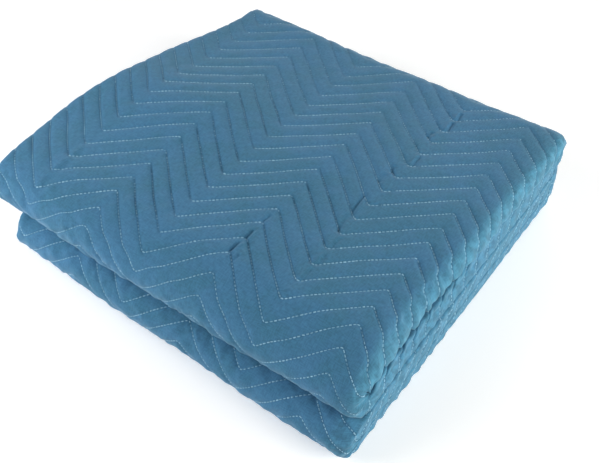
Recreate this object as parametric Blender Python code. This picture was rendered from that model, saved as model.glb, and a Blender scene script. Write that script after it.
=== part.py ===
"""Quilted moving blanket, folded four by four into one flat bundle.

The cloth is a single sheet.  It is gate folded along X into a strip of four
layers, and the strip is gate folded along Y, so the bundle has sixteen layers.
A point of the sheet is (u, v, h): u and v run along the flat cloth and h goes
through its thickness.  The fold along X turns (u, h) into (x, s), where s is
the place across the strip's four layers, and the fold along Y turns (v, s)
into (y, z).  The folded strip is then made uneven: its edges wander, its two
front lobes lean, and its top is crowned.

Units are metres, +Z is up, and the origin is under the middle of the bundle.
"""
import math

import bmesh
import bpy

# Driving sizes
CLOTH = 0.0052            # thickness of the quilted cloth
LAYER_GAP = 0.0014        # air between two layers of a strip
STRIP_GAP = 0.0014        # air between two strips
BUNDLE_X = 0.500          # folded size along X, before its edges wander
BUNDLE_Y = 0.472          # folded size along Y, before its lobes lean
BACK_CORNER = 0.019       # middle-of-strip radius of the two back corners

# What follows from them
LAYER_PITCH = CLOTH + LAYER_GAP
STRIP = 3 * LAYER_PITCH + CLOTH
STRIP_PITCH = STRIP + STRIP_GAP
HEIGHT = 3 * STRIP_PITCH + STRIP
LAYER_TURN = LAYER_PITCH / 2
LAYER_WRAP = 1.5 * LAYER_PITCH
STRIP_TURN = STRIP_PITCH / 2
STRIP_WRAP = 1.5 * STRIP_PITCH
RUN_X = BUNDLE_X - (LAYER_TURN + LAYER_WRAP + CLOTH)
RUN_Y = BUNDLE_Y - (STRIP_TURN + BACK_CORNER + STRIP)
BACK_WALL = 2 * (STRIP_WRAP - BACK_CORNER)

# Facets
RUN_STEPS_X = 5
RUN_STEPS_Y = 8
SMALL_TURN_STEPS = 5
WRAP_STEPS = 7
LOBE_STEPS = 8
CORNER_STEPS = 4

# Each fold is walked along its middle line.  Every turn is to the left, and a
# gate fold starts and ends inside its own big turn.
# columns: kind, length or radius, degrees, steps
FOLD_X = (
    ("run", RUN_X, 0, RUN_STEPS_X),
    ("turn", LAYER_TURN, 180, SMALL_TURN_STEPS),
    ("run", RUN_X, 0, RUN_STEPS_X),
    ("turn", LAYER_WRAP, 180, WRAP_STEPS),
    ("run", RUN_X, 0, RUN_STEPS_X),
    ("turn", LAYER_TURN, 180, SMALL_TURN_STEPS),
    ("run", RUN_X, 0, RUN_STEPS_X),
)
FOLD_Y = (
    ("run", RUN_Y, 0, RUN_STEPS_Y),
    ("turn", STRIP_TURN, 180, LOBE_STEPS),
    ("run", RUN_Y, 0, RUN_STEPS_Y),
    ("turn", BACK_CORNER, 90, CORNER_STEPS),
    ("run", BACK_WALL, 0, 1),
    ("turn", BACK_CORNER, 90, CORNER_STEPS),
    ("run", RUN_Y, 0, RUN_STEPS_Y),
    ("turn", STRIP_TURN, 180, LOBE_STEPS),
    ("run", RUN_Y, 0, RUN_STEPS_Y),
)

# How far each strip's two edges stand out of the nominal bundle, at places
# along the strip counted in FOLD_Y's rows: 2.5 is the middle of its third row.
# columns: row, left edge, right edge
EDGES = (
    (0.0, -0.048, -0.006),
    (1.0, -0.038, -0.004),
    (1.5, -0.044, -0.003),
    (2.0, -0.038, -0.003),
    (2.5, -0.036, -0.003),
    (3.0, -0.034, -0.003),
    (4.5, -0.040, -0.007),
    (6.0, -0.040, -0.006),
    (6.4, -0.018, -0.009),
    (6.7, -0.004, -0.015),
    (7.0, -0.010, -0.010),
    (7.5, -0.018, -0.008),
    (8.0, -0.018, -0.008),
    (9.0, -0.052, -0.007),
)

# How far the two front lobes stand out, along X from left to right.
# columns: place from -1 to 1, lower lobe, upper lobe
LOBES = (
    (-1.0, -0.009, -0.014),
    (0.0, 0.001, -0.010),
    (1.0, 0.008, -0.008),
)

# How far the top rises over its nominal height, as a share of it.
# columns: place along X from -1 to 1, front, middle, back
CROWN = (
    (-1.0, -0.010, 0.000, -0.030),
    (-0.4, -0.010, 0.000, -0.050),
    (0.0, -0.010, 0.000, -0.050),
    (0.5, 0.015, 0.025, -0.014),
    (1.0, 0.000, 0.010, 0.012),
)

# How far the bundle sinks towards its front lobes, as a share of its height.
# columns: place along X from -1 to 1, share
DROOP = (
    (-1.0, 0.080),
    (-0.1, 0.140),
    (0.5, 0.190),
    (1.0, 0.160),
)
DROOP_FROM = 0.165        # distance in front of the middle where it starts
DROOP_TO = 0.232          # and where it is all there

# A soft swelling under the left of the top, over all the layers
SWELL_X, SWELL_Y = -0.195, -0.018
SWELL_WIDTH, SWELL_DEPTH = 0.085, 0.048
SWELL_RISE = 0.105        # as a share of the height

COLOUR = (0.072, 0.186, 0.313, 1.0)
ROUGHNESS = 0.92
SMOOTH_ANGLE = math.radians(50)


def walk(fold):
    """Yield row place, point and left normal at each station of a fold."""
    a, b, heading = 0.0, 0.0, math.pi
    yield 0.0, a, b, -math.sin(heading), math.cos(heading)
    for row, (kind, size, degrees, steps) in enumerate(fold):
        turn = math.radians(degrees) / steps
        step = 2 * size * math.sin(turn / 2) if kind == "turn" else size / steps
        for count in range(steps):
            heading += turn / 2
            a += step * math.cos(heading)
            b += step * math.sin(heading)
            heading += turn / 2
            place = row + (count + 1) / steps
            yield place, a, b, -math.sin(heading), math.cos(heading)


def blend(table, place):
    """Read a table's columns at a place in its first one, eased between rows."""
    if place <= table[0][0]:
        return table[0][1:]
    for low, high in zip(table, table[1:]):
        if place <= high[0]:
            share = (place - low[0]) / (high[0] - low[0])
            ease = share * share * (3 - 2 * share)
            return tuple(p + (q - p) * ease for p, q in zip(low[1:], high[1:]))
    return table[-1][1:]


def step_up(value, low, high):
    """Rise smoothly from 0 at low to 1 at high."""
    share = min(max((value - low) / (high - low), 0.0), 1.0)
    return share * share * (3 - 2 * share)


def uneven(x, y, z, row):
    """Move a point of the even bundle to its place in the uneven one."""
    left, right = blend(EDGES, row)
    toward_right = (x + BUNDLE_X / 2) / BUNDLE_X
    x += right * toward_right - left * (1 - toward_right)
    across = x / (BUNDLE_X / 2)
    along = y / (BUNDLE_Y / 2)
    lower, upper = blend(LOBES, across)
    lean = lower + (upper - lower) * step_up(z, 0.4 * HEIGHT, 0.6 * HEIGHT)
    y -= lean * step_up(-along, 0.0, 1.0)
    front, middle, back = blend(CROWN, across)
    side = front if along < 0 else back
    rise = middle + (side - middle) * step_up(abs(along), 0.0, 1.0)
    apart = ((x - SWELL_X) / SWELL_WIDTH) ** 2 + ((y - SWELL_Y) / SWELL_DEPTH) ** 2
    rise += SWELL_RISE * math.exp(-apart / 2)
    (share,) = blend(DROOP, across)
    rise -= share * step_up(-y, DROOP_FROM, DROOP_TO)
    return x, y, z * (1 + rise)


def cloth_point(station_u, station_v, h):
    """Fold one point of the sheet, first along X and then along Y."""
    _, a, b, normal_a, normal_b = station_u
    x = a + h * normal_a + BUNDLE_X / 2 - LAYER_WRAP - CLOTH / 2
    s = b + h * normal_b - LAYER_PITCH / 2
    row, a, b, normal_a, normal_b = station_v
    y = a + s * normal_a + BUNDLE_Y / 2 - BACK_CORNER - STRIP / 2
    z = b + s * normal_b + HEIGHT / 2 - STRIP_PITCH / 2
    return uneven(x, y, z, row)


def folded_sheet(name):
    """Make the closed mesh of the folded sheet, centred over the origin."""
    along_u = list(walk(FOLD_X))
    along_v = list(walk(FOLD_Y))
    bm = bmesh.new()
    sides = []
    for h in (-CLOTH / 2, CLOTH / 2):
        sides.append([[bm.verts.new(cloth_point(su, sv, h)) for sv in along_v] for su in along_u])
    outer, inner = sides
    last_u = len(along_u) - 1
    last_v = len(along_v) - 1
    for i in range(last_u):
        for j in range(last_v):
            bm.faces.new((outer[i][j], outer[i][j + 1], outer[i + 1][j + 1], outer[i + 1][j]))
            bm.faces.new((inner[i][j], inner[i + 1][j], inner[i + 1][j + 1], inner[i][j + 1]))
    for i in range(last_u):
        for j, flip in ((0, False), (last_v, True)):
            rim = [outer[i][j], outer[i + 1][j], inner[i + 1][j], inner[i][j]]
            bm.faces.new(rim[::-1] if flip else rim)
    for j in range(last_v):
        for i, flip in ((0, True), (last_u, False)):
            rim = [outer[i][j], outer[i][j + 1], inner[i][j + 1], inner[i][j]]
            bm.faces.new(rim[::-1] if flip else rim)
    bmesh.ops.recalc_face_normals(bm, faces=bm.faces[:])
    middle = [(min(v.co[axis] for v in bm.verts) + max(v.co[axis] for v in bm.verts)) / 2 for axis in (0, 1)]
    bmesh.ops.translate(bm, verts=bm.verts[:], vec=(-middle[0], -middle[1], 0.0))
    bmesh.ops.triangulate(bm, faces=bm.faces[:])
    mesh = bpy.data.meshes.new(name)
    bm.to_mesh(mesh)
    bm.free()
    mesh.shade_smooth()
    mesh.set_sharp_from_angle(angle=SMOOTH_ANGLE)
    return mesh


def cloth_material():
    """Matt blue quilted cloth."""
    material = bpy.data.materials.new("quilted_cloth")
    material.use_nodes = True
    shader = material.node_tree.nodes["Principled BSDF"]
    shader.inputs["Base Color"].default_value = COLOUR
    shader.inputs["Roughness"].default_value = ROUGHNESS
    shader.inputs["Metallic"].default_value = 0.0
    return material


def main():
    for old in list(bpy.data.objects):
        bpy.data.objects.remove(old, do_unlink=True)
    mesh = folded_sheet("blanket")
    mesh.materials.append(cloth_material())
    blanket = bpy.data.objects.new("blanket", mesh)
    bpy.context.scene.collection.objects.link(blanket)


main()
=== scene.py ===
"""Looks of the quilted moving blanket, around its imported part.

The cloth is one sheet, gate folded along X into a strip of four layers, and
the strip is gate folded along Y.  A place on the flat cloth is (u, v), both
measured along its outer face: u is x on the top of the bundle, and v is y
there.  A place in a fold's rows is a row's number and the share of the way
along it.  The stitch lines are zigzags in (u, v), and the mesh is laid out on
a lattice that has them along its diagonals.  Units are metres.
"""

import math

import bpy
import numpy as np
from mathutils import Euler, Matrix, Vector


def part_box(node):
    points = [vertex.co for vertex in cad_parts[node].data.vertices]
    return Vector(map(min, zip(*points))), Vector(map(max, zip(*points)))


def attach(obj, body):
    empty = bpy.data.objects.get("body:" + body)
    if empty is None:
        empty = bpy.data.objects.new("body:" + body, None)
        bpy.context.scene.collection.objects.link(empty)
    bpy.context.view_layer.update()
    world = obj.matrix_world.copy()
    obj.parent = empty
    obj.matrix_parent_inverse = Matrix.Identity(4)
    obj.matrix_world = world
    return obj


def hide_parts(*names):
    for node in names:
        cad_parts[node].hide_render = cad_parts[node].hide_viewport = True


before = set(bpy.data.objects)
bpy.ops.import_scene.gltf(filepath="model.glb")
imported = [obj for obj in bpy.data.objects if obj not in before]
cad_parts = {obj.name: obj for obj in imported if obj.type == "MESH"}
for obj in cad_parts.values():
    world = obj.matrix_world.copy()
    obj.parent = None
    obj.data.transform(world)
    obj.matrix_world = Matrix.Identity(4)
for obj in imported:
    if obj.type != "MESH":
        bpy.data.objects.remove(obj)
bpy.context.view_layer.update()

# Sizes of the fold, named as in the part's source
CLOTH = 0.0052
LAYER_GAP = 0.0014
STRIP_GAP = 0.0014
BUNDLE_X = 0.500
BUNDLE_Y = 0.472
BACK_CORNER = 0.019
LAYER_PITCH = CLOTH + LAYER_GAP
STRIP = 3 * LAYER_PITCH + CLOTH
STRIP_PITCH = STRIP + STRIP_GAP
HEIGHT = 3 * STRIP_PITCH + STRIP
LAYER_TURN = LAYER_PITCH / 2
LAYER_WRAP = 1.5 * LAYER_PITCH
STRIP_TURN = STRIP_PITCH / 2
STRIP_WRAP = 1.5 * STRIP_PITCH
RUN_X = BUNDLE_X - (LAYER_TURN + LAYER_WRAP + CLOTH)
RUN_Y = BUNDLE_Y - (STRIP_TURN + BACK_CORNER + STRIP)
BACK_WALL = 2 * (STRIP_WRAP - BACK_CORNER)

# Radii of the turns at the sheet's outer face, and at the strip's
R_SMALL = LAYER_TURN + CLOTH / 2
R_WRAP = LAYER_WRAP + CLOTH / 2
R_LOBE = STRIP_TURN + STRIP / 2
R_BACK = BACK_CORNER + STRIP / 2

# columns: kind, length or radius, degrees
FOLD_X = (
    ("run", RUN_X, 0),
    ("turn", LAYER_TURN, 180),
    ("run", RUN_X, 0),
    ("turn", LAYER_WRAP, 180),
    ("run", RUN_X, 0),
    ("turn", LAYER_TURN, 180),
    ("run", RUN_X, 0),
)
FOLD_Y = (
    ("run", RUN_Y, 0),
    ("turn", STRIP_TURN, 180),
    ("run", RUN_Y, 0),
    ("turn", BACK_CORNER, 90),
    ("run", BACK_WALL, 0),
    ("turn", BACK_CORNER, 90),
    ("run", RUN_Y, 0),
    ("turn", STRIP_TURN, 180),
    ("run", RUN_Y, 0),
)
MAIN_X = 2  # row of FOLD_X that is the strip's outer layer
MAIN_Y = 6  # row of FOLD_Y that is the top of the bundle
WALL_PLACE = 4.5  # place in FOLD_Y's rows half way up the back wall
LEDGE_ROW = 0.94  # from here the lower strips reach out from under the upper

# How far each strip's two edges stand out, as in the part's source apart from
# a few mm at the right.
# columns: row, left edge, right edge
EDGES = (
    (0.0, -0.048, -0.0035),
    (1.0, -0.038, -0.003),
    (1.5, -0.044, -0.003),
    (2.0, -0.038, -0.003),
    (2.5, -0.036, -0.003),
    (3.0, -0.034, -0.003),
    (4.5, -0.040, -0.007),
    (6.0, -0.040, -0.006),
    (6.4, -0.018, -0.011),
    (6.7, -0.004, -0.020),
    (7.0, -0.010, -0.017),
    (7.3, -0.014, -0.011),
    (7.5, -0.018, -0.008),
    (8.0, -0.018, -0.005),
    (9.0, -0.052, -0.005),
)
# columns: place along X from -1 to 1, lower lobe, upper lobe
LOBES = (
    (-1.0, -0.009, -0.014),
    (0.0, 0.001, -0.010),
    (1.0, 0.008, -0.008),
)
# columns: place along X from -1 to 1, front, middle, back
CROWN = (
    (-1.0, -0.010, 0.000, -0.030),
    (-0.4, -0.010, 0.000, -0.050),
    (0.0, -0.010, 0.000, -0.050),
    (0.5, 0.015, 0.025, -0.014),
    (1.0, 0.000, 0.010, 0.012),
)
# columns: place along X from -1 to 1, share of the height
DROOP = (
    (-1.0, 0.080),
    (-0.1, 0.140),
    (0.5, 0.190),
    (1.0, 0.160),
)
DROOP_NEAR = (0.165, 0.232)  # distance in front of the middle
SWELL_X, SWELL_Y = -0.195, -0.018  # middle of a swelling at the left end
SWELL_WIDTH, SWELL_DEPTH = 0.085, 0.048
SWELL_RISE = 0.105  # share of the height

# How far the quilting lies from its even place on the folds, along u, and
# along v at the bundle's two sides.
# columns: row of FOLD_Y, along u, along v at the left, along v at the right
DRIFT = (
    (0.0, -0.011, -0.027, 0.013),
    (2.6, -0.011, -0.027, 0.013),
    (5.5, 0.000, 0.000, 0.000),
    (6.95, 0.000, 0.000, 0.000),
    (7.2, 0.001, 0.008, 0.002),
    (9.0, 0.002, 0.008, 0.002),
)

# How square the cloth's turn at the right side is, 2 being round, on the half
# that ends the strip's outer layer and on the half under it, and how far the
# second half stands out further.  A half grows thicker where it is pressed.
# columns: row of FOLD_Y, outer half, inner half, inner half stands out,
# growth of the outer half, growth of the inner half
BIGHTS = (
    (0.0, 22.0, 22.0, 0.000, 0.0018, 0.0018),
    (0.9, 22.0, 22.0, 0.000, 0.0018, 0.0018),
    (1.4, 3.0, 22.0, 0.000, 0.0000, 0.0018),
    (3.0, 3.0, 14.0, 0.000, 0.0000, 0.0018),
    (5.0, 3.0, 9.0, 0.000, 0.0000, 0.0009),
    (6.0, 3.0, 9.0, 0.002, 0.0000, 0.0009),
    (6.4, 2.6, 9.0, 0.004, 0.0000, 0.0009),
    (6.7, 2.3, 9.0, 0.009, 0.0000, 0.0009),
    (7.0, 2.3, 9.0, 0.009, 0.0000, 0.0009),
    (7.3, 2.6, 9.0, 0.003, 0.0000, 0.0009),
    (7.7, 3.0, 9.0, -0.001, 0.0000, 0.0009),
    (8.1, 22.0, 9.0, -0.003, 0.0018, 0.0009),
    (8.6, 22.0, 9.0, -0.003, 0.0018, 0.0009),
    (9.0, 22.0, 9.0, 0.000, 0.0018, 0.0009),
)
EVEN_TURN = 14.0  # squareness that the turn's steps are even for
TURN_STEPS = 720  # steps in which that turn is measured

SIDE_START = 0.236  # u where the turn at the right side starts
SLIP = 0.0100  # how far the quilting has slipped along v on that turn
SLIP_TO = 0.262  # u from where it has slipped that far

# Quilting: zigzag stitch lines, at even steps along v
LINE_PITCH = 0.0264  # from one line to the next, along v
LINE_START = -0.2094  # v of a line's valley on the top
ZIGZAG = 0.0726  # how far peaks lie behind valleys
PERIOD = 0.15255  # from valley to valley along u
CLIMB = 0.0779  # from a valley to the next peak along u
VALLEY = -0.1801  # u of a valley
SLANT = 0.72  # across a line, per length along v
CORNER_ROUND = 0.0022  # how round the zigzag's corners are
SLOPE_FADE = 0.006  # length along u in which one slope's seams turn into the next's

# Sharp creases, from one place to another near a corner of the stitch lines.
# Corners count from the first valley, so odd ones are peaks.
# columns: corner, first line, its side, last line, its side, height, width
CREASES = (
    (0, 0.12, 0.002, 0.85, 0.001, 0.0009, 0.0026),
    (0, 0.10, 0.009, 0.80, 0.008, -0.0010, 0.0030),
    (0, 1.12, 0.002, 1.85, 0.001, 0.0009, 0.0026),
    (0, 1.10, 0.009, 1.80, 0.008, -0.0010, 0.0030),
    (0, 2.15, 0.002, 2.80, 0.001, 0.0007, 0.0026),
    (0, 2.15, 0.009, 2.75, 0.008, -0.0008, 0.0030),
    (3, -1.05, -0.001, -0.34, -0.001, -0.0022, 0.0019),
    (3, -1.05, 0.003, -0.34, 0.003, 0.0008, 0.0020),
    (3, -1.30, 0.010, -0.92, 0.010, -0.0013, 0.0019),
    (3, -0.16, 0.000, 0.46, 0.000, -0.0022, 0.0019),
    (3, -0.16, 0.004, 0.46, 0.004, 0.0008, 0.0020),
    (3, 0.92, 0.000, 1.48, 0.000, -0.0018, 0.0019),
    (4, 2.00, 0.000, 2.90, -0.001, 0.0008, 0.0017),
    (4, 2.00, 0.004, 2.90, 0.004, -0.0010, 0.0022),
    (4, 3.05, 0.000, 3.75, 0.001, 0.0008, 0.0017),
    (4, 3.05, 0.004, 3.75, 0.005, -0.0010, 0.0022),
    (4, 4.18, 0.000, 4.90, 0.000, 0.0005, 0.0017),
    (4, 4.18, 0.004, 4.90, 0.004, -0.0010, 0.0019),
    (4, 5.00, -0.005, 6.15, -0.010, -0.0016, 0.0033),
    (4, 5.10, -0.001, 5.90, -0.006, 0.0006, 0.0017),
    (4, 6.30, -0.008, 7.50, -0.013, -0.0024, 0.0019),
    (4, 6.30, -0.004, 7.50, -0.009, 0.0005, 0.0017),
    (4, 8.40, -0.010, 9.00, -0.014, -0.0015, 0.0031),
    (4, 9.15, -0.008, 9.75, -0.012, -0.0015, 0.0026),
    (4, 10.10, 0.000, 10.90, -0.001, 0.0008, 0.0017),
    (4, 10.10, 0.004, 10.90, 0.003, -0.0015, 0.0019),
    (4, 12.30, -0.002, 12.85, -0.002, 0.0007, 0.0017),
    (4, 12.25, -0.007, 12.80, -0.007, -0.0015, 0.0026),
    (4, 13.20, 0.001, 13.95, -0.002, 0.0008, 0.0017),
    (4, 13.20, 0.005, 13.95, 0.002, -0.0021, 0.0019),
    (4, 14.15, 0.000, 14.75, -0.002, 0.0007, 0.0017),
    (4, 14.15, 0.004, 14.75, 0.002, -0.0018, 0.0019),
    (1, -3.95, -0.017, -3.25, -0.019, -0.0010, 0.0020),
    (1, -3.95, -0.011, -3.30, -0.012, -0.0010, 0.0020),
    (1, -4.45, 0.030, -3.70, 0.027, -0.0010, 0.0022),
    (1, -4.50, 0.037, -3.80, 0.035, -0.0010, 0.0022),
    (1, -4.50, 0.044, -3.90, 0.043, -0.0008, 0.0022),
    (3, -4.70, -0.022, -4.00, -0.024, -0.0010, 0.0022),
    (3, -4.70, -0.015, -4.00, -0.016, -0.0010, 0.0022),
    (3, -4.60, 0.017, -4.00, 0.015, -0.0010, 0.0022),
)
CREASE_END = (-0.08, 0.20)  # where a crease fades out, as shares of its length

# Relief of the cloth.  Steep slopes are those that face the right, and bent
# parts are the turns at the left and the right side.
WAVE_SUM = 1.6  # weights of an uneven field's waves, in all
WANDER = 0.0012  # how far the stitch lines stray
TOP_PUFF, SIDE_PUFF = 0.0010, 0.0009  # height of the cloth between two seams
PUFF_SPREAD = 0.35  # how uneven that is, as a share
TOP_SEAM, SIDE_SEAM, STEEP_SEAM = 0.0005, 0.0012, 0.0014  # depths
TOP_WIDTH, SIDE_WIDTH, STEEP_WIDTH = 0.0016, 0.0017, 0.0024
STEEP_SPREAD = 0.45  # how uneven steep seams are, as a share
LEAST_STEEP = 0.3  # share of their own depth that they have everywhere
BILLOW = 0.0009  # long swells
DENT, FRONT_DENT = 0.0005, 0.0017  # short dents, on the top and in front
LOOSE_V = (-0.23, -0.12)  # where the front's dents end
CRUMPLE = 0.0019  # on the turns of the right side, times these
CRUMPLE_EVEN, CRUMPLE_FRONT, CRUMPLE_LOWER = 0.8, 0.7, -0.45
LEFT_BENT = 0.25  # how much the left side counts as bent
LEFT_FLAT = 0.6  # how much flatter the relief is at the left side
LOWER_FLAT = 0.7  # how much flatter at the right side of all strips but the top one
TOP_STRIP = (4.0, 5.0), (MAIN_Y + 0.6, MAIN_Y + 1.1)  # rows where that one sets in and ends
NOTCH = 0.0046  # more depth of seams at the right side of the upper two strips
NOTCH_WIDTH = 0.0013
NOTCH_LEAST = 0.15  # share of it at the back
NOTCH_NEAR = (-0.04, 0.08)  # distance in front of the middle where the rest sets in
PUCKER = 0.0003  # gathers along the stitch lines
PUCKER_REACH = 0.006
PUCKER_PITCH = 0.0078
PUCKER_SHIFT = 2.4  # radians from one line's gathers to the next line's
PUCKER_UNEVEN, PUCKER_BEAT = 1.7, 0.31  # how much their pitch varies, and how slowly

# Where steep seams get less deep: in front, at the lower front, behind, left
FRONT_V, UNDER_V, BACK_V, LEFT_U = (-0.232, -0.17), (0.4, 0.5), (-0.02, 0.14), (-0.22, -0.12)
BACK_LESS = 0.62  # how much less deep at the back
LEFT_SHARE = 0.45  # share of the depth at the left

# How level, or how far to one side, a normal points where the cloth is
# exposed, on the right side and on the left one
EXPOSED, RIGHT_SIDE, LEFT_SIDE = (0.15, 0.75), (0.1, 0.8), (0.05, 0.7)
# How far round the right turn the notches are, and its lower half stands out
PINCHED, BULGED = (0.2, 0.75), (-0.7, 0.6)

# Lattice of the mesh.  Its columns and rows count from a line's first valley.
LINE_ROWS = 24  # lattice rows from line to line
SLOPE_COLUMNS = 66  # lattice columns from a valley to a peak
FINE = 2  # lattice steps in a face that shows
COARSE = 3  # lattice steps at the back and the gathered side
BLOCK = 6  # lattice steps in a block where the cloth bends
SPAN = 72  # and in one where it is flat
FIRST_ROW, LAST_ROW = -450, 1326
ROW_BENDS = ((-90, 12), (366, 504), (864, 966))
COLUMN_BENDS = ((-78, 0), (342, 402))

# Parts of the lattice with the sharpest creases of the top
# columns: first column, last column, first row, last row
CREASED = (
    (192, 210, 12, 156),
    (252, 270, 12, 366),
)
FLAT_MARKS = (66, 132, *CREASED[0][:2], *CREASED[1][:2], 330)

# Places in FOLD_X's rows of the columns before and after those
PLACES_BEFORE = (0.0, 0.3, 0.6)
PLACES_AFTER = (4.3, 4.65, *(5 + n / 6 for n in range(7)), 6.35, 6.7, 7.0)

# Where blocks are fine or coarse, by place in the rows or on the cloth
UNSEEN = 0.02  # a block that is exposed less than this is one face
FINEST_COLUMNS = (3.3, 4.0)  # the lower half of the turn at the right
SEEN_CLOSE = 0.08  # the finest blocks lie nearer the front than this
BACK_ROWS = (3.1, 5.7)  # the back of the bundle
INNER_COLUMNS = (4.05, 4.9)  # the run under the strip's outer layer
FAR_V = (0.0, 0.21)  # the far half of the top
PLAIN_U = 0.20  # left of this the far half and the bottom show little
GATHERED_U = (-0.19, 0.30)  # what lies beyond is gathered or far round a turn
LOBE_ROWS = (6, 8)  # the top and the upper lobe
BOTTOM_TO = 1.02  # row where the bottom ends


def blend(table, place):
    """Read a table's columns at places in its first one, eased between rows."""
    table = np.array(table)
    at = np.clip(np.searchsorted(table[:, 0], place) - 1, 0, len(table) - 2)
    low, high = table[at], table[at + 1]
    share = np.clip((place - low[..., 0]) / (high[..., 0] - low[..., 0]), 0, 1)
    ease = share * share * (3 - 2 * share)
    return [low[..., c] + (high[..., c] - low[..., c]) * ease for c in range(1, table.shape[1])]


def step_up(value, low, high):
    """Rise smoothly from 0 at low to 1 at high."""
    share = np.clip((value - low) / (high - low), 0, 1)
    return share * share * (3 - 2 * share)


def within(value, limits):
    """Whether a value lies between two limits."""
    return limits[0] < value < limits[1]


def rows_of(table):
    """Each row's kind, size, angle, start and heading, as an array."""
    a, b, heading = 0.0, 0.0, math.pi
    found = []
    for kind, size, degrees in table:
        angle = math.radians(degrees)
        found.append((kind == "turn", size, angle, a, b, heading))
        if kind == "run":
            a += size * math.cos(heading)
            b += size * math.sin(heading)
        else:
            middle_a = a - size * math.sin(heading)
            middle_b = b + size * math.cos(heading)
            heading += angle
            a = middle_a + size * math.sin(heading)
            b = middle_b - size * math.cos(heading)
    return np.array(found, float)


ROWS_X = rows_of(FOLD_X)
ROWS_Y = rows_of(FOLD_Y)


def walk(rows, place):
    """Points and left normals on a fold's middle line, at places counted in rows."""
    at = np.clip(place.astype(int), 0, len(rows) - 1)
    turns, size, angle, a, b, start = np.moveaxis(rows[at], -1, 0)
    share = place - at
    heading = start + turns * angle * share
    along = np.where(turns > 0, 0.0, size * share)
    inward = np.where(turns > 0, size, 0.0)
    a = a + along * np.cos(start) - inward * (np.sin(start) - np.sin(heading))
    b = b + along * np.sin(start) + inward * (np.cos(start) - np.cos(heading))
    return a, b, -np.sin(heading), np.cos(heading)


def reach(angle, power, out=0.0, over=0.0):
    """How far a squared turn lies from its middle, per its radius.

    out and over are how much more it measures across and up.
    """
    across = np.sin(angle) / (1 + out)
    along = abs(np.cos(angle)) / (1 + over)
    return (across ** power + along ** power) ** (-1 / power)


def even_turn():
    """Shares of the length around a squared turn, at even steps of its angle."""
    angle = np.linspace(0, math.pi, TURN_STEPS + 1)
    far = reach(angle, EVEN_TURN)
    steps = np.hypot(np.diff(far * np.sin(angle)), np.diff(far * np.cos(angle)))
    total = np.concatenate([[0], np.cumsum(steps)])
    return total / total[-1]


TURN_SHARES = even_turn()


def lengths_x(left, right):
    """Lengths of FOLD_X's rows on the outer face, and the u where they start."""
    run = RUN_X + left + right
    small, wrap = math.pi * R_SMALL, math.pi * R_WRAP
    lengths = [run, small, run, wrap, run, small, run]
    return lengths, -BUNDLE_X / 2 - left + R_SMALL - sum(lengths[:MAIN_X])


def place_x(u, left, right):
    """Rows of FOLD_X at u, for a strip with these edges."""
    lengths, start = lengths_x(left, right)
    place = 0.0
    for row, length in enumerate(lengths):
        share = np.clip((u - start) / length, 0, 1)
        if row == MAIN_X + 1:
            share = np.interp(share, TURN_SHARES, np.linspace(0, 1, len(TURN_SHARES)))
        place = place + share
        start = start + length
    return place


def u_at(place, left, right):
    """The u of a place in FOLD_X's rows."""
    lengths, u = lengths_x(left, right)
    for row, length in enumerate(lengths):
        u = u + np.clip(place - row, 0, 1) * length
    return u


def place_y(v, lower, upper):
    """Rows of FOLD_Y at v, for lobes that lean out this far."""
    under, over = RUN_Y + lower, RUN_Y + upper
    lobe, corner = math.pi * R_LOBE, math.pi / 2 * R_BACK
    lengths = [under, lobe, under, corner, BACK_WALL, corner, over, lobe, over]
    start = BUNDLE_Y / 2 - R_BACK + sum(lengths[:MAIN_Y])
    place = 0.0
    for length in lengths:
        place = place + np.clip((start - v) / length, 0, 1)
        start = start - length
    return place


def waves(seed, longest, shortest, count=9):
    """A smooth uneven field over (u, v), the sum of a number of waves."""
    rng = np.random.default_rng(seed)
    length = np.exp(rng.uniform(math.log(shortest), math.log(longest), count))
    heading = rng.uniform(0, 2 * math.pi, count)
    phase = rng.uniform(0, 2 * math.pi, count)
    weight = length / length.sum() * WAVE_SUM

    def field(u, v):
        total = 0.0
        for n in range(count):
            along = u * math.cos(heading[n]) + v * math.sin(heading[n])
            total = total + weight[n] * np.sin(2 * math.pi * along / length[n] + phase[n])
        return total

    return field


def fold(u, v, lift=0.0, side=-1.0):
    """Points of the folded cloth, outward normals and rows, at places on it.

    side is -1 for the outer face and 1 for the inner one, and lift raises it.
    """
    row = place_y(v, 0.0, 0.0)
    left, right = blend(EDGES, row)
    column = place_x(u, left, right)
    a, b, normal_a, normal_b = walk(ROWS_X, column)
    h = side * (CLOTH / 2 + lift)
    x = a + h * normal_a + BUNDLE_X / 2 - R_WRAP
    s = b + h * normal_b - LAYER_PITCH / 2
    share = np.clip((x + BUNDLE_X / 2 - R_SMALL) / RUN_X, 0, 1)
    x = x + right * share - left * (1 - share)
    across = x / (BUNDLE_X / 2)
    lower, upper = blend(LOBES, across)
    row = place_y(v, lower, upper)
    a, b, normal_y, normal_z = walk(ROWS_Y, row)
    y = a + s * normal_y + BUNDLE_Y / 2 - R_BACK
    z = b + s * normal_z + HEIGHT / 2 - STRIP_PITCH / 2
    lean = np.where(row > WALL_PLACE, upper, lower)
    along = y / (BUNDLE_Y / 2)
    y = y - lean * np.clip((BUNDLE_Y / 2 - R_BACK - y) / RUN_Y, 0, 1)
    front, middle, back = blend(CROWN, across)
    rise = middle + (np.where(along < 0, front, back) - middle) * step_up(abs(along), 0.0, 1.0)
    apart = ((x - SWELL_X) / SWELL_WIDTH) ** 2 + ((y - SWELL_Y) / SWELL_DEPTH) ** 2
    rise = rise + SWELL_RISE * np.exp(-apart / 2)
    rise = rise - blend(DROOP, across)[0] * step_up(-y, *DROOP_NEAR)
    points = np.stack([x, y, z * (1 + rise)], -1)
    normals = side * np.stack([normal_a, normal_b * normal_y, normal_b * normal_z], -1)
    return points, normals, column, row


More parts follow.
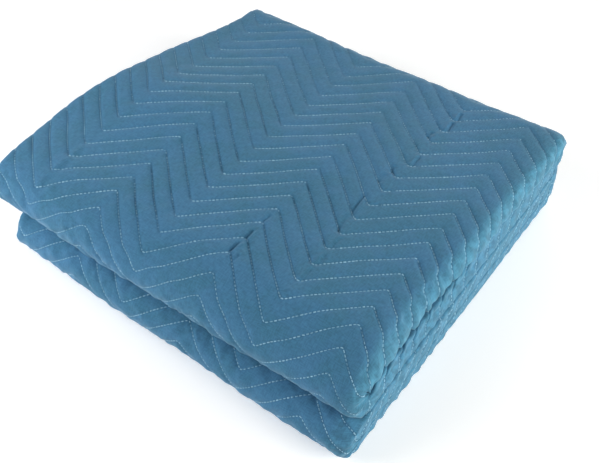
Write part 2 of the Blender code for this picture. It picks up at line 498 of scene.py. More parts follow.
def zigzag(u):
    """How far a stitch line lies behind its valleys at u, round at its corners."""
    after = np.mod(u - VALLEY, PERIOD)
    near = np.where(after < PERIOD - CLIMB / 2, after, after - PERIOD)
    at_valley = near < CLIMB / 2
    off = np.where(at_valley, near, CLIMB - near)
    gentle, steep = ZIGZAG / CLIMB, ZIGZAG / (PERIOD - CLIMB)
    depth = (gentle - steep) / 2 * off + (gentle + steep) / 2 * np.hypot(off, CORNER_ROUND)
    return np.where(at_valley, depth, ZIGZAG - depth)


def line_u(place):
    """The u of a place counted in zigzag slopes from the first valley."""
    whole = np.floor(place / 2)
    rest = place - 2 * whole
    return VALLEY + PERIOD * whole + np.where(rest < 1, rest * CLIMB, CLIMB + (rest - 1) * (PERIOD - CLIMB))


# Uneven fields: seed, longest and shortest wave, number of waves
wander_u = waves(11, 0.16, 0.05)
wander_v = waves(12, 0.16, 0.04)
puff_size = waves(13, 0.10, 0.03)
billow = waves(14, 0.22, 0.07)
crumple = waves(15, 0.024, 0.007, 24)
dents = waves(16, 0.026, 0.009, 24)


def laid(u, v):
    """Where a place on the cloth lies on its folds, as u and v of the even cloth."""
    along_u, at_left, at_right = blend(DRIFT, place_y(v, 0.0, 0.0))
    share = np.clip(u / BUNDLE_X + 0.5, 0, 1)
    along_v = at_left + (at_right - at_left) * share + SLIP * step_up(u, SIDE_START, SLIP_TO)
    return u + along_u + WANDER * wander_u(u, v), v + along_v + WANDER * wander_v(u, v)


def creases(u, v):
    """Lift of the sharp creases at places on the cloth."""
    total = np.zeros(np.broadcast(u, v).shape)
    for corner, first, first_side, last, last_side, height, width in CREASES:
        u0 = line_u(np.array(float(corner))) + first_side
        v0 = LINE_START + first * LINE_PITCH + ZIGZAG * (corner % 2)
        run_u, run_v = last_side - first_side, (last - first) * LINE_PITCH
        length = math.hypot(run_u, run_v)
        along = ((u - u0) * run_u + (v - v0) * run_v) / length ** 2
        off = ((u - u0) * run_v - (v - v0) * run_u) / length
        ends = step_up(along, *CREASE_END) * step_up(1 - along, *CREASE_END)
        total += height * ends * np.exp(-(off / width) ** 2)
    return total


def drawn_in(u, v):
    """Share by which steep slopes are drawn in, 1 on the middle of the top."""
    along_v = step_up(v, *FRONT_V) * (1 - step_up(v, *UNDER_V))
    return along_v * (LEFT_SHARE + (1 - LEFT_SHARE) * step_up(u, *LEFT_U))


def round_turn(column):
    """How far round the turn at the right a place lies, from -1 to 1, and its angle."""
    angle = math.pi * np.clip(column - MAIN_X - 1, 0, 1)
    return -np.cos(angle), angle


def squared(column, row):
    """Lift that squares the turn at the right and lets its lower half stand out."""
    turned, angle = round_turn(column)
    outer_power, inner_power, out, outer_over, inner_over = blend(BIGHTS, row)
    power = np.where(turned < 0, outer_power, inner_power)
    over = np.where(turned < 0, outer_over, inner_over)
    out = out * step_up(turned, *BULGED)
    square = R_WRAP * (reach(angle, power, out / R_WRAP, over / R_WRAP) - 1)
    return np.where((column > MAIN_X + 1) & (column < MAIN_X + 2), square, 0.0)


def exposed(normals, column, row):
    """How exposed the outer face is at places in the rows, from 0 to 1."""
    on_top = (row > WALL_PLACE) & (row < MAIN_Y + 1.5) | (row > LEDGE_ROW) & (row < 1.5)
    on_top &= (normals[..., 2] >= 0) & (column > MAIN_X - 0.5) & (column < MAIN_X + 1.5)
    return np.where(on_top, 1.0, step_up(np.hypot(normals[..., 0], normals[..., 1]), *EXPOSED))


def shape(u, v):
    """Exposed share and lift of the outer face at places on the cloth."""
    points, normals, column, row = fold(*laid(u, v))
    shown = exposed(normals, column, row)
    side = step_up(normals[..., 0], *RIGHT_SIDE)
    left = step_up(-normals[..., 0], *LEFT_SIDE)
    bent = side + LEFT_BENT * left
    pinch = np.where(row > MAIN_Y - 0.5, side * step_up(round_turn(column)[0], *PINCHED), 0.0)

    band = (v - zigzag(u) - LINE_START) / LINE_PITCH
    part = np.mod(band, 1.0)
    apart = np.minimum(part, 1 - part) * LINE_PITCH * SLANT
    arch = np.sqrt(np.clip(4 * part * (1 - part), 0, 1))
    puff = TOP_PUFF + (SIDE_PUFF - TOP_PUFF) * bent
    after = np.mod(u - VALLEY, PERIOD)
    steep = step_up(after, CLIMB, CLIMB + SLOPE_FADE) * step_up(PERIOD - after, 0.0, SLOPE_FADE)
    steep = steep * (LEAST_STEEP + (1 - LEAST_STEEP) * drawn_in(u, v))
    steep = steep * (1 - BACK_LESS * step_up(v, *BACK_V))
    steep = steep * (1 + STEEP_SPREAD * np.clip(puff_size(v, u), -1, 1))
    seam = TOP_SEAM + (STEEP_SEAM - TOP_SEAM) * steep
    width = TOP_WIDTH + (STEEP_WIDTH - TOP_WIDTH) * steep
    seam = seam + (SIDE_SEAM - seam) * bent
    width = width + (SIDE_WIDTH - width) * bent
    valley = np.exp(-(apart / width) ** 2)
    near_front = NOTCH_LEAST + (1 - NOTCH_LEAST) * step_up(-points[..., 1], *NOTCH_NEAR)
    notch = NOTCH * near_front * pinch * np.exp(-(apart / NOTCH_WIDTH) ** 2)
    lift = puff * arch * (1 + PUFF_SPREAD * puff_size(u, v)) - seam * valley
    lower = 1 - step_up(row, *TOP_STRIP[0]) * (1 - step_up(row, *TOP_STRIP[1]))
    lift = lift * (1 - LOWER_FLAT * side * lower) * (1 - LEFT_FLAT * left)
    tight = step_up(v, *LOOSE_V) * (1 - step_up(v, *UNDER_V))
    loose = DENT + (FRONT_DENT - DENT) * (1 - tight)
    lift = lift + loose * (1 - bent) * (1 - valley) * dents(u, v)
    crumpled = CRUMPLE_EVEN + CRUMPLE_FRONT * near_front + CRUMPLE_LOWER * lower
    lift = lift + BILLOW * billow(u, v) + CRUMPLE * side * crumpled * crumple(u, v)
    turn = 2 * math.pi * u / PUCKER_PITCH + PUCKER_SHIFT * np.round(band)
    gather = np.sin(turn + PUCKER_UNEVEN * np.sin(PUCKER_BEAT * turn))
    lift = lift + PUCKER * gather * np.exp(-(apart / PUCKER_REACH) ** 2) * (1 - valley)
    return shown, shown * (lift + creases(u, v)) + squared(column, row) - notch


def surface(u, v, lift):
    """Points and normals on the outer face, at places on the cloth."""
    return fold(*laid(u, v), lift)[:2]


def lattice_columns():
    """Each lattice column's slope count or place in FOLD_X, and the block edges."""
    left, right = COLUMN_BENDS
    before, after = np.zeros(len(PLACES_BEFORE)), np.zeros(len(PLACES_AFTER))
    counts = np.arange(left[0], right[1] + 1)
    slopes = np.concatenate([before, counts, after]) / SLOPE_COLUMNS
    places = np.concatenate([PLACES_BEFORE, np.full(len(counts), np.nan), PLACES_AFTER])
    shift = len(before) - left[0]
    marks = [*range(left[0], left[1] + 1, BLOCK), *FLAT_MARKS, *range(right[0], right[1] + 1, BLOCK)]
    edges = [*range(len(before)), *(shift + mark for mark in marks)]
    edges += range(shift + right[1] + 1, len(places))
    return slopes, places, edges


def lattice_rows():
    """The v of each lattice row, and the block edges."""
    marks, at = [], FIRST_ROW
    for low, high in ROW_BENDS:
        marks += range(at, low, SPAN)
        marks += range(low, high, BLOCK)
        at = high
    marks += range(at, LAST_ROW + 1, SPAN)
    v = LINE_START + np.arange(FIRST_ROW, LAST_ROW + 1) * LINE_PITCH / LINE_ROWS
    return v, [mark - FIRST_ROW for mark in marks]


SLOPES, PLACES, EDGES_U = lattice_columns()
ROW_V, EDGES_V = lattice_rows()
SPANS_U, SPANS_V = list(zip(EDGES_U, EDGES_U[1:])), list(zip(EDGES_V, EDGES_V[1:]))


def lattice_uv(i, j):
    """The (u, v) of lattice nodes."""
    v = ROW_V[j]
    left, right = blend(EDGES, place_y(v, 0.0, 0.0))
    placed = u_at(np.nan_to_num(PLACES[i]), left, right)
    return np.where(np.isnan(PLACES[i]), line_u(SLOPES[i]), placed), v


def block_steps():
    """The lattice steps of each block, or 0 where it is one hidden face."""
    i, j = np.meshgrid(np.arange(len(PLACES)), np.arange(0, len(ROW_V), COARSE), indexing="ij")
    shown = shape(*lattice_uv(i, j))[0]
    steps = {}
    for i0, i1 in SPANS_U:
        for j0, j1 in SPANS_V:
            if shown[i0:i1 + 1, j0 // COARSE:j1 // COARSE + 1].max() < UNSEEN:
                steps[i0, j0] = 0
                continue
            column, row = round(SLOPES[i0] * SLOPE_COLUMNS), j0 + FIRST_ROW
            if any(c0 <= column < c1 and r0 <= row < r1 for c0, c1, r0, r1 in CREASED):
                steps[i0, j0] = 1
                continue
            u, v = lattice_uv(np.array((i0 + i1) // 2), np.array((j0 + j1) // 2))
            points, _, column, row = fold(*laid(u, v))
            upper_front = row > MAIN_Y and points[1] < SEEN_CLOSE
            far = within(v, FAR_V) and u < PLAIN_U
            gathered = not within(u, GATHERED_U) and not within(row, LOBE_ROWS)
            bottom = row < BOTTOM_TO and u < PLAIN_U
            if within(column, FINEST_COLUMNS) and upper_front:
                steps[i0, j0] = 1
            elif within(row, BACK_ROWS) or within(column, INNER_COLUMNS):
                steps[i0, j0] = BLOCK
            else:
                steps[i0, j0] = COARSE if far or gathered or bottom else FINE
    return steps


def cloth_faces():
    """Faces of the cloth as lattice nodes (i, j, side), and each one's kind.

    Kinds 0 and 1 are the outer and inner faces, 2 and 3 the rims along u, and
    4 and 5 those along v.
    """
    steps = block_steps()
    used = np.zeros((len(PLACES), len(ROW_V)), bool)
    blocks = []
    for i0, i1 in SPANS_U:
        for j0, j1 in SPANS_V:
            step = steps[i0, j0]
            step_i = min(step, i1 - i0) if step else i1 - i0
            step_j = step if step else j1 - j0
            used[i0:i1 + 1:step_i, j0:j1 + 1:step_j] = True
            blocks.append((i0, i1, step_i, j0, j1, step_j))
    faces = []
    for i0, i1, step_i, j0, j1, step_j in blocks:
        for i in range(i0, i1, step_i):
            for j in range(j0, j1, step_j):
                high_i, high_j = i + step_i, j + step_j
                ring = [(n, j) for n in range(i, high_i) if used[n, j]]
                ring += [(high_i, n) for n in range(j, high_j) if used[high_i, n]]
                ring += [(n, high_j) for n in range(high_i, i, -1) if used[n, high_j]]
                ring += [(i, n) for n in range(high_j, j, -1) if used[i, n]]
                if len(ring) == 4 and (SLOPES[i] + SLOPES[high_i]) // 2 % 2:
                    ring = ring[1:] + ring[:1]
                faces.append([(n, m, 0) for n, m in ring])
    outer_count = len(faces)
    for i0, i1 in SPANS_U:
        for j0, j1 in SPANS_V:
            faces.append([(i0, j0, 1), (i0, j1, 1), (i1, j1, 1), (i1, j0, 1)])
    kinds = [0] * outer_count + [1] * (len(faces) - outer_count)
    last_i, last_j = EDGES_U[-1], EDGES_V[-1]
    for i0, i1 in SPANS_U:
        near = [(n, 0, 0) for n in range(i0, i1 + 1) if used[n, 0]]
        far = [(n, last_j, 0) for n in range(i0, i1 + 1) if used[n, last_j]]
        faces.append(near[::-1] + [(i0, 0, 1), (i1, 0, 1)])
        faces.append(far + [(i1, last_j, 1), (i0, last_j, 1)])
        kinds += [2, 3]
    for j0, j1 in SPANS_V:
        near = [(0, n, 0) for n in range(j0, j1 + 1) if used[0, n]]
        far = [(last_i, n, 0) for n in range(j0, j1 + 1) if used[last_i, n]]
        faces.append(near + [(0, j1, 1), (0, j0, 1)])
        faces.append(far[::-1] + [(last_i, j0, 1), (last_i, j1, 1)])
        kinds += [4, 5]
    return faces, kinds


# How finely a baked picture of the cloth shows each stretch of it.
# columns: place along u, share of full fineness from there on
BAKE_U = (
    (-0.78, 0.04),
    (-0.30, 1.00),
    (0.33, 0.04),
    (0.70, 0.50),
    (0.76, 0.04),
    (1.26, 0.00),
)
# columns: place along v, share of full fineness from there on
BAKE_V = (
    (-0.73, 0.30),
    (-0.30, 1.00),
    (0.36, 0.30),
    (0.75, 1.00),
    (0.85, 0.25),
    (1.27, 0.00),
)
# columns: lowest and highest place across the picture, for the outer face,
# the inner face, the two rims along u and the two along v
BAKE_BANDS = (
    (0.001, 0.960),
    (0.965, 0.980),
    (0.982, 0.985),
    (0.986, 0.989),
    (0.990, 0.993),
    (0.994, 0.997),
)


def bake_share(table, place):
    """How far along the baked picture a place is, from 0 to 1."""
    table = np.array(table)
    total = np.concatenate([[0], np.cumsum(np.diff(table[:, 0]) * table[:-1, 1])])
    return np.interp(place, table[:, 0], total / total[-1])


def bake_map(u, v, inner, kind):
    """The corners' places in the baked picture, for faces of each kind."""
    low, high = np.array(BAKE_BANDS)[kind].T
    along_u, along_v = bake_share(BAKE_U, u), bake_share(BAKE_V, v)
    across = np.where(kind < 2, along_v, inner)
    return np.stack([np.where(kind < 4, along_u, along_v), low + (high - low) * across], -1)


def add_map(piece, name, places):
    """A UV map on a piece, from one place for each corner of its faces."""
    made = piece.data.uv_layers.new(name=name)
    made.uv.foreach_set("vector", places.astype(np.float32).ravel())


def add_mesh(name, points, faces, material, smooth=True):
    """A new object from points and faces, linked to the scene."""
    mesh = bpy.data.meshes.new(name)
    mesh.from_pydata(points.tolist(), [], faces)
    mesh.polygons.foreach_set("use_smooth", np.full(len(mesh.polygons), smooth))
    mesh.materials.append(material)
    piece = bpy.data.objects.new(name, mesh)
    bpy.context.scene.collection.objects.link(piece)
    return piece


def fold_middle():
    """The middle of the even-faced folded cloth, less the middle of the part's box."""
    i, j = np.meshgrid(np.array(EDGES_U), np.arange(0, len(ROW_V), BLOCK), indexing="ij")
    points = fold(*lattice_uv(i, j))[0].reshape(-1, 3)
    low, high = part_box("blanket")
    middle = (points.min(0) + points.max(0)) / 2 - (np.array(low) + np.array(high)) / 2
    return np.array([middle[0], middle[1], 0.0])


FOLD_MIDDLE = fold_middle()


def make_cloth(material):
    """The cloth as one closed sheet."""
    faces, kinds = cloth_faces()
    number = {}
    for face in faces:
        for node in face:
            number.setdefault(node, len(number))
    i, j, inner = np.array(list(number)).T
    u, v = lattice_uv(i, j)
    outer_points = surface(u, v, shape(u, v)[1])[0]
    inner_points = fold(*laid(u, v), side=1.0)[0]
    points = np.where(inner[:, None] > 0, inner_points, outer_points) - FOLD_MIDDLE
    points[:, 2] = np.maximum(points[:, 2], 0.0)
    cloth = add_mesh("quilted_cloth", points, [[number[n] for n in face] for face in faces], material)
    corner = np.empty(len(cloth.data.loops), int)
    cloth.data.loops.foreach_get("vertex_index", corner)
    kind = np.repeat(kinds, [len(face) for face in faces])
    add_map(cloth, "flat", np.stack([u, v], -1)[corner])
    add_map(cloth, "OFBake", bake_map(u[corner], v[corner], inner[corner], kind))
    return cloth


# Single threads of the quilting
STITCH_PITCH = 0.0040
PITCH_SPREAD = 0.00015
LINE_ENDS = (-1.18, 14.0)  # where lines start and stop, in slopes
LINE_STEPS = 4000  # steps in which a line is measured
EXTRA_LINES = 3  # lines that only reach the sheet with their peaks
SLOPE_STEP = 1e-4  # length along u over which a line's slope is measured
STITCHED = 0.3  # how exposed cloth is that has threads
THREAD_SIDES = 6
THREAD_FLOOR = 0.0008  # least height of a thread's middle
# columns: length, radius, depth below the cloth; on level slopes, on steep
# ones, and on steep ones towards the right
LEVEL_STITCH = (0.0034, 0.00066, -0.0001)
STEEP_STITCH = (0.0024, 0.00044, -0.0001)
RIGHT_STITCH = (0.0036, 0.00058, -0.0002)
LENGTHS, RADII = (0.85, 1.10), (0.72, 1.12)  # least and greatest share of these
STEEP_SINK = 0.0003  # how much deeper threads on steep slopes can lie
BACK_SINK = 0.0003  # how much deeper they all lie towards the back of the top
SINK_V = (0.06, 0.20), (0.26, 0.30)  # where that sets in and ends
RIGHT_U = (0.04, 0.16)  # where steep slopes turn into the third kind
# columns: place from a thread's middle to its end, how much deeper it is there
THREAD_BEND = (
    (-1.0, 0.0004),
    (-0.6, 0.0000),
    (0.6, 0.0000),
    (1.0, 0.0004),
)
CELL_MARGIN = 0.1  # round each thread in the baked picture
CELL_BANDS = 5  # bands along a thread there, one for each pointed end


def stitch_places():
    """(u, v) of the middle of each stitch that shows."""
    u_low, u_high = line_u(np.array(LINE_ENDS))
    fine = np.linspace(u_low, u_high, LINE_STEPS)
    depth = zigzag(fine)
    along = np.concatenate([[0], np.cumsum(np.hypot(np.diff(fine), np.diff(depth)))])
    first = int((ROW_V[0] - LINE_START) / LINE_PITCH) - EXTRA_LINES
    last = int((ROW_V[-1] - LINE_START) / LINE_PITCH) + 1
    rng = np.random.default_rng(21)
    found = []
    for line in range(first, last):
        at = np.arange(rng.uniform(0, STITCH_PITCH), along[-1], STITCH_PITCH)
        at = at + rng.normal(0, PITCH_SPREAD, len(at))
        u = np.interp(at, along, fine)
        v = LINE_START + line * LINE_PITCH + zigzag(u)
        found.append(np.stack([u, v], -1))
    found = np.concatenate(found)
    found = found[(found[:, 1] > ROW_V[0]) & (found[:, 1] < ROW_V[-1])]
    shown = shape(found[:, 0], found[:, 1])[0]
    return found[shown > STITCHED]


def stitch_points(u, v, sink):
    """Points and normals on the cloth for stitches, sunk into it."""
    points, normals = surface(u, v, shape(u, v)[1] - sink)
    points = points - FOLD_MIDDLE
    points[:, 2] = np.maximum(points[:, 2], THREAD_FLOOR)
    return points, normals


def make_stitches(name, places, material):
    """One mesh of short threads along the stitch lines."""
    u, v = places.T
    slope = (zigzag(u + SLOPE_STEP) - zigzag(u - SLOPE_STEP)) / (2 * SLOPE_STEP)
    unit = 1 / np.hypot(1, slope)
    rng = np.random.default_rng(22)
    steep = (slope < 0)[:, None]
    right = 1 - (1 - step_up(u, *RIGHT_U)) * drawn_in(u, v)
    near, far = np.array(STEEP_STITCH), np.array(RIGHT_STITCH)
    sloped = near + (far - near) * right[:, None]
    length, radius, depth = np.where(steep, sloped, LEVEL_STITCH).T
    half = length / 2 * rng.uniform(*LENGTHS, len(u))
    radius = radius * rng.uniform(*RADII, len(u))
    depth = depth + steep[:, 0] * rng.uniform(0, STEEP_SINK, len(u))
    depth = depth + BACK_SINK * step_up(v, *SINK_V[0]) * (1 - step_up(v, *SINK_V[1]))
    ends = []
    for place, sink in THREAD_BEND:
        off = place * half * unit
        ends.append(stitch_points(u + off, v + off * slope, depth + sink))
    along = ends[2][0] - ends[1][0]
    along /= np.linalg.norm(along, axis=1)[:, None]
    rings = [ends[0][0][:, None]]
    for middle, normal in ends[1:3]:
        across = np.cross(along, normal)
        across /= np.linalg.norm(across, axis=1)[:, None]
        for n in range(THREAD_SIDES):
            angle = 2 * math.pi * n / THREAD_SIDES
            spoke = math.cos(angle) * across + math.sin(angle) * normal
            rings.append((middle + radius[:, None] * spoke)[:, None])
    rings.append(ends[3][0][:, None])
    points = np.concatenate(rings, 1)
    count = 2 * THREAD_SIDES + 2
    one, spread = [], []
    for n in range(THREAD_SIDES):
        m = (n + 1) % THREAD_SIDES
        one.append((0, 1 + m, 1 + n))
        one.append((1 + n, 1 + m, 1 + THREAD_SIDES + m, 1 + THREAD_SIDES + n))
        one.append((count - 1, 1 + THREAD_SIDES + n, 1 + THREAD_SIDES + m))
        spread += [(n + 0.5, 0), (n + 1, 1), (n, 1)]
        spread += [(n, 1), (n + 1, 1), (n + 1, CELL_BANDS - 1), (n, CELL_BANDS - 1)]
        spread += [(n + 0.5, CELL_BANDS), (n, CELL_BANDS - 1), (n + 1, CELL_BANDS - 1)]
    faces = [tuple(k + count * s for k in face) for s in range(len(u)) for face in one]
    stitches = add_mesh(name, points.reshape(-1, 3), faces, material)
    cells = math.ceil(math.sqrt(len(u)))
    cell = np.stack([np.arange(len(u)) % cells, np.arange(len(u)) // cells], -1)[:, None]
    spread = CELL_MARGIN + (1 - 2 * CELL_MARGIN) * np.array(spread) / (THREAD_SIDES, CELL_BANDS)
    add_map(stitches, "OFBake", (cell + spread) / cells)
    return stitches


def feed(sockets, values):
    """Set inputs to numbers and colours, or link them to outputs."""
    for socket, value in zip(sockets, values):
        if isinstance(value, bpy.types.NodeSocket):
            socket.id_data.links.new(value, socket)
        else:
            socket.default_value = value


def set_inputs(node, values):
    """Feed a node's inputs by their names."""
    feed([node.inputs[name] for name in values], values.values())


def calc(operation, first, *others):
    """A math node's output, from an output and others or numbers."""
    made = first.id_data.nodes.new("ShaderNodeMath")
    made.operation = operation
    feed(made.inputs, (first, *others))
    return made.outputs[0]


def product(first, *others):
    """The product of an output and others or numbers."""
    for other in others:
        first = calc("MULTIPLY", first, other)
    return first


def distance(value, middle):
    """How far an output is from a number, on either side."""
    return calc("ABSOLUTE", calc("SUBTRACT", value, middle))


def noise(vector, scale, detail):
    """A noise node's value over a vector."""
    made = vector.id_data.nodes.new("ShaderNodeTexNoise")
    set_inputs(made, {"Vector": vector, "Scale": scale, "Detail": detail})
    return made.outputs[0]


def stretched(vector, scale):
    """A vector stretched along its axes."""
    made = vector.id_data.nodes.new("ShaderNodeVectorMath")
    made.operation = "MULTIPLY"
    feed(made.inputs, (vector, scale))
    return made.outputs[0]


def ramp(value, low, high, to_low, to_high):
    """A value mapped smoothly from one range to another."""
    made = value.id_data.nodes.new("ShaderNodeMapRange")
    made.interpolation_type = "SMOOTHSTEP"
    feed(made.inputs, (value, low, high, to_low, to_high))
    return made.outputs[0]


def mixed(share, first, second):
    """A colour mixed from two colours or outputs."""
    made = share.id_data.nodes.new("ShaderNodeMix")
    made.data_type = "RGBA"
    feed((made.inputs[0], *made.inputs[6:8]), (share, first, second))
    return made.outputs[2]


def new_material(name):
    """A material and its shader."""
    material = bpy.data.materials.new(name)
    material.use_nodes = True
    return material, material.node_tree.nodes["Principled BSDF"]


# Colours
BLUE = (0.0530, 0.1790, 0.3200, 1.0)
BLUE_GREY = (0.0480, 0.1700, 0.2800, 1.0)
BLUE_SEAM_SHADE = (0.0285, 0.1050, 0.1970, 1.0)  # painted shade in the seams
BLUE_CREVICE_SHADE = (0.0080, 0.0360, 0.0750, 1.0)  # painted shade in the crevice between the upper strips
BLUE_PAINTED_LIGHT = (0.0620, 0.2160, 0.3280, 1.0)  # painted light on the right side
THREAD_DARK = (0.17, 0.385, 0.545, 1.0)
THREAD_PALE = (0.30, 0.56, 0.73, 1.0)
CLOTH_SHADER = {
    "Sheen Weight": 0.32,
    "Sheen Roughness": 0.45,
    "Sheen Tint": (0.62, 0.84, 1.0, 1.0),
    "Specular IOR Level": 0.25,
}
THREAD_SHADER = {"Roughness": 0.55, "Sheen Weight": 0.2}
BUMP = {"Strength": 0.5, "Distance": 0.0006}
BUMP_WEAVE, BUMP_WRINKLES = 0.3, 0.7

# How finely the cloth's threads and wrinkles lie along u and v
WARP, WEFT, WRINKLES = (900.0, 160.0, 1.0), (160.0, 900.0, 1.0), (260.0, 150.0, 1.0)
# Noises.  columns: scale, detail
FINE_NOISE, WRINKLE_NOISE = (1.0, 1.0), (1.0, 3.0)
MOTTLE, PATCHES, UNEVEN = (42.0, 4.0), (9.0, 2.0), (16.0, 1.0)
SIDE_MOTTLE, THREAD_TONES = (110.0, 3.0), (160.0, 2.0)

# Ramps.  columns: from, to, result at the first, result at the second
# Over u and v: how much shade is painted in steep seams
DARK_U, DARK_EDGE_U = (*RIGHT_U, 0.42, 0.10), (0.210, 0.232, 0.0, 0.42)
DARK_FRONT_V, DARK_UNDER_V = (*FRONT_V, 0.2, 1.0), (*UNDER_V, 1.0, 0.2)
DARK_BACK_V = (*BACK_V, 1.0, 0.4)
# Over u and v: where the cloth is on the right side, where shade is painted in the crevice, and where light
# is painted on the top strip's edge
SIDE_U, CREVICE_U = (SIDE_START - 0.006, SIDE_START + 0.006, 0.0, 1.0), (0.262, 0.272, 0.0, 1.0)
LIT_EDGE_V = (0.25, 0.27, 0.40, 0.0)
# Over the distance from the edge where light is painted, and from the lobe over the crevice, both given on
# the next line
LIT_EDGE_NEAR, CREVICE_NEAR = (0.010, 0.024, 1.0, 0.0), (0.16, 0.25, 1.0, 0.0)
LIT_EDGE_U, CREVICE_V = 0.247, -0.27
# Over the distance from a stitch line: painted shade in its seam and in the crevice
SEAM_DARK, CREVICE_DARK = (0.0, 0.0020, 1.0, 0.0), (0.0012, 0.0058, 0.95, 0.35)
# Over noises
UNEVEN_DARK, SIDE_MOTTLE_TONE = (0.38, 0.62, 0.45, 1.4), (0.38, 0.62, 0.84, 1.16)
GREYER, ROUGH = (0.40, 0.60, 0.0, 1.0), (0.3, 0.7, 0.86, 0.96)
WEAVE_TONE, THREAD_MIX = (0.7, 1.3, 0.86, 1.14), (0.35, 0.65, 0.0, 1.0)
ALL_DARK = 0.12  # least painted shade in every seam
LIGHT_SIDE_SHARE = 0.42  # how much light is painted on the right side


def seam_nodes(place, u, v):
    """The distance from the nearest stitch line, and how much shade is painted in its seam."""
    turn = calc("FRACT", calc("MULTIPLY_ADD", u, 1 / PERIOD, -VALLEY / PERIOD))
    fall = PERIOD / (PERIOD - CLIMB)
    falling = calc("MULTIPLY_ADD", turn, -fall, fall)
    depth = product(calc("MINIMUM", product(turn, PERIOD / CLIMB), falling), ZIGZAG)
    band = calc("SUBTRACT", calc("SUBTRACT", v, depth), LINE_START)
    band = product(band, 1 / LINE_PITCH)
    apart = product(calc("PINGPONG", band, 0.5), LINE_PITCH * SLANT)
    seam_shade = product(ramp(v, *DARK_FRONT_V), ramp(u, *DARK_U))
    seam_shade = product(seam_shade, ramp(v, *DARK_UNDER_V), ramp(v, *DARK_BACK_V))
    uneven = ramp(noise(place, *UNEVEN), *UNEVEN_DARK)
    seam_shade = calc("MULTIPLY_ADD", seam_shade, uneven, ramp(u, *DARK_EDGE_U))
    on_steep = calc("GREATER_THAN", turn, CLIMB / PERIOD)
    seam_shade = calc("MULTIPLY_ADD", on_steep, seam_shade, ALL_DARK)
    return apart, product(ramp(apart, *SEAM_DARK), seam_shade)


def cloth_colour(place, u, v, weave, mottle):
    """The cloth's colour: patches, painted light on the right side, an uneven tone there, weave, and
    painted shade in the seams and the crevice.
    """
    apart, seam = seam_nodes(place, u, v)
    patches = calc("MULTIPLY_ADD", mottle, 0.5, product(noise(place, *PATCHES), 0.5))
    colour = mixed(ramp(patches, *GREYER), BLUE, BLUE_GREY)
    around = ramp(u, *SIDE_U)
    # painted light: the right side lighter, and the top strip's right edge more so
    edge = ramp(distance(u, LIT_EDGE_U), *LIT_EDGE_NEAR)
    upper = ramp(calc("ABSOLUTE", v), *LIT_EDGE_V)
    painted_light = calc("MULTIPLY_ADD", around, LIGHT_SIDE_SHARE, product(upper, edge))
    colour = mixed(painted_light, colour, BLUE_PAINTED_LIGHT)
    # uneven tone on the right side, lighter and darker by turns
    side_mottle = ramp(noise(place, *SIDE_MOTTLE), *SIDE_MOTTLE_TONE)
    side_mottle = calc("MULTIPLY_ADD", calc("SUBTRACT", side_mottle, 1.0), around, 1.0)
    bright = place.id_data.nodes.new("ShaderNodeVectorMath")
    bright.operation = "SCALE"
    tone = product(ramp(weave, *WEAVE_TONE), side_mottle)
    feed((bright.inputs[0], bright.inputs[3]), (colour, tone))
    # painted shade in the seams
    colour = mixed(seam, bright.outputs[0], BLUE_SEAM_SHADE)
    # painted shade in the crevice between the upper strips, deepest by the stitch lines
    near_lobe = ramp(distance(v, CREVICE_V), *CREVICE_NEAR)
    crevice_shade = product(ramp(u, *CREVICE_U), near_lobe, ramp(apart, *CREVICE_DARK))
    return mixed(crevice_shade, colour, BLUE_CREVICE_SHADE)


def cloth_material():
    """Matt blue cloth with a fine weave, soft mottling, painted shade in the seams and the crevice, and
    painted light on the right side.
    """
    material, shader = new_material("quilted_cloth")
    nodes = material.node_tree.nodes
    flat = nodes.new("ShaderNodeUVMap")
    flat.uv_map = "flat"
    place = flat.outputs[0]
    split = nodes.new("ShaderNodeSeparateXYZ")
    feed(split.inputs, (place,))
    u, v = split.outputs[:2]
    warp, weft = (noise(stretched(place, scale), *FINE_NOISE) for scale in (WARP, WEFT))
    weave = calc("ADD", warp, weft)
    mottle = noise(place, *MOTTLE)
    wrinkle = noise(stretched(place, WRINKLES), *WRINKLE_NOISE)
    height = calc("MULTIPLY_ADD", weave, BUMP_WEAVE, product(wrinkle, BUMP_WRINKLES))
    bump = nodes.new("ShaderNodeBump")
    set_inputs(bump, {**BUMP, "Height": height})
    set_inputs(shader, {
        **CLOTH_SHADER,
        "Base Color": cloth_colour(place, u, v, weave, mottle),
        "Roughness": ramp(mottle, *ROUGH),
        "Normal": bump.outputs[0],
    })
    return material


def thread_material():
    """Pale blue sewing thread, a little uneven in tone."""
    material, shader = new_material("thread")
    place = material.node_tree.nodes.new("ShaderNodeTexCoord").outputs["Object"]
    share = ramp(noise(place, *THREAD_TONES), *THREAD_MIX)
    set_inputs(shader, {**THREAD_SHADER, "Base Color": mixed(share, THREAD_DARK, THREAD_PALE)})
    return material


FLOOR_REACH = 6.0  # to each side
FLOOR_HEIGHT = -0.0004  # just under the object
FLOOR_SHADER = {
    "Base Color": (0.9, 0.9, 0.9, 1.0),
    "Roughness": 0.9,
    "Emission Color": (1.0, 1.0, 1.0, 1.0),
    "Emission Strength": 0.33,
}


def make_floor():
    """A plain pale floor under the object, larger than the camera sees."""
    corners = np.array([(-1, -1), (1, -1), (1, 1), (-1, 1)])
    points = np.column_stack([corners * FLOOR_REACH, np.full(4, FLOOR_HEIGHT)])
    material, shader = new_material("floor")
    set_inputs(shader, FLOOR_SHADER)
    floor = add_mesh("floor", points, [(0, 1, 2, 3)], material, smooth=False)


CAMERA_AT = (0.4513, -0.6560, 0.7729)
CAMERA_ANGLES = (44.99, -2.30, 35.16)  # degrees about X, Y and Z
SENSOR_WIDTH, FOCAL_LENGTH = 36.0, 55.66


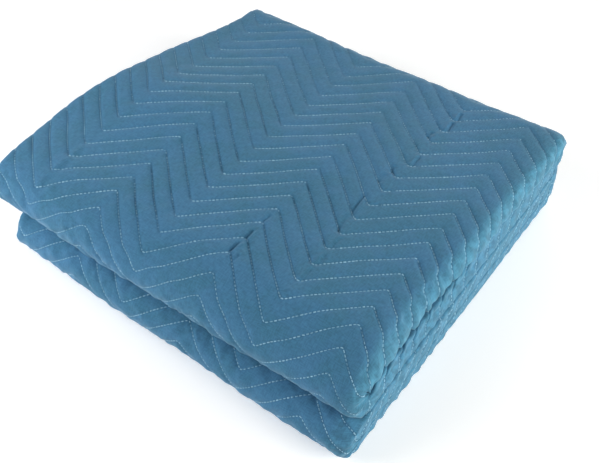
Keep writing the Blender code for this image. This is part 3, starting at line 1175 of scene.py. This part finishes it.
def make_camera():
    """A camera at the photograph's viewing angle."""
    lens = bpy.data.cameras.new("camera")
    lens.sensor_width = SENSOR_WIDTH
    lens.lens = FOCAL_LENGTH
    lens.clip_start, lens.clip_end = 0.05, 20.0
    camera = bpy.data.objects.new("camera", lens)
    turn = Euler([math.radians(angle) for angle in CAMERA_ANGLES])
    camera.matrix_world = Matrix.LocRotScale(Vector(CAMERA_AT), turn, None)
    bpy.context.scene.collection.objects.link(camera)
    bpy.context.scene.camera = camera


# columns: name, x, y, z, size, watts, share of blue
LAMPS = (
    ("back", 0.0, 1.8, 0.9, 1.2, 15.2, 1.0),
    ("front_left", -1.2, -1.3, 0.9, 1.2, 23.3, 1.0),
    ("near_left", -0.8, -0.5, 0.5, 0.5, 4.4, 1.0),
    ("right", 1.7, 0.1, 0.9, 1.2, 27.6, 1.0),
    ("low_right", 1.5, 0.25, 0.20, 0.8, 8.0, 0.75),
)
LAMPS_AIM = (0.0, 0.0, 0.05)
SKY = {"Color": (1.0, 1.0, 1.0, 1.0), "Strength": 0.01}


def make_light():
    """Soft studio light from several broad lamps."""
    world = bpy.data.worlds.new("studio")
    bpy.context.scene.world = world
    world.use_nodes = True
    set_inputs(world.node_tree.nodes["Background"], SKY)
    for name, x, y, z, size, watts, blue in LAMPS:
        lamp = bpy.data.lights.new(name, "AREA")
        lamp.shape = "SQUARE"
        lamp.size = size
        lamp.energy = watts
        lamp.color = (1.0, 1.0, blue)
        holder = bpy.data.objects.new(name, lamp)
        holder.location = (x, y, z)
        holder.rotation_mode = "QUATERNION"
        aim = Vector(LAMPS_AIM) - Vector((x, y, z))
        holder.rotation_quaternion = aim.to_track_quat("-Z", "Y")
        bpy.context.scene.collection.objects.link(holder)
    bpy.context.scene.view_settings.view_transform = "Standard"


TOP_THREADS_V = (-0.30, 0.21)  # the threads of the top and the front of its lobe
TOP_THREADS_U = 0.30

make_camera()
make_light()
make_floor()
cloth = make_cloth(cloth_material())
places = stitch_places()
over = np.array([within(v, TOP_THREADS_V) and u < TOP_THREADS_U for u, v in places])
thread = thread_material()
top_stitches = make_stitches("stitches_top", places[over], thread)
side_stitches = make_stitches("stitches_sides", places[~over], thread)
for piece in (cloth, top_stitches, side_stitches):
    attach(piece, "root")
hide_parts("blanket")
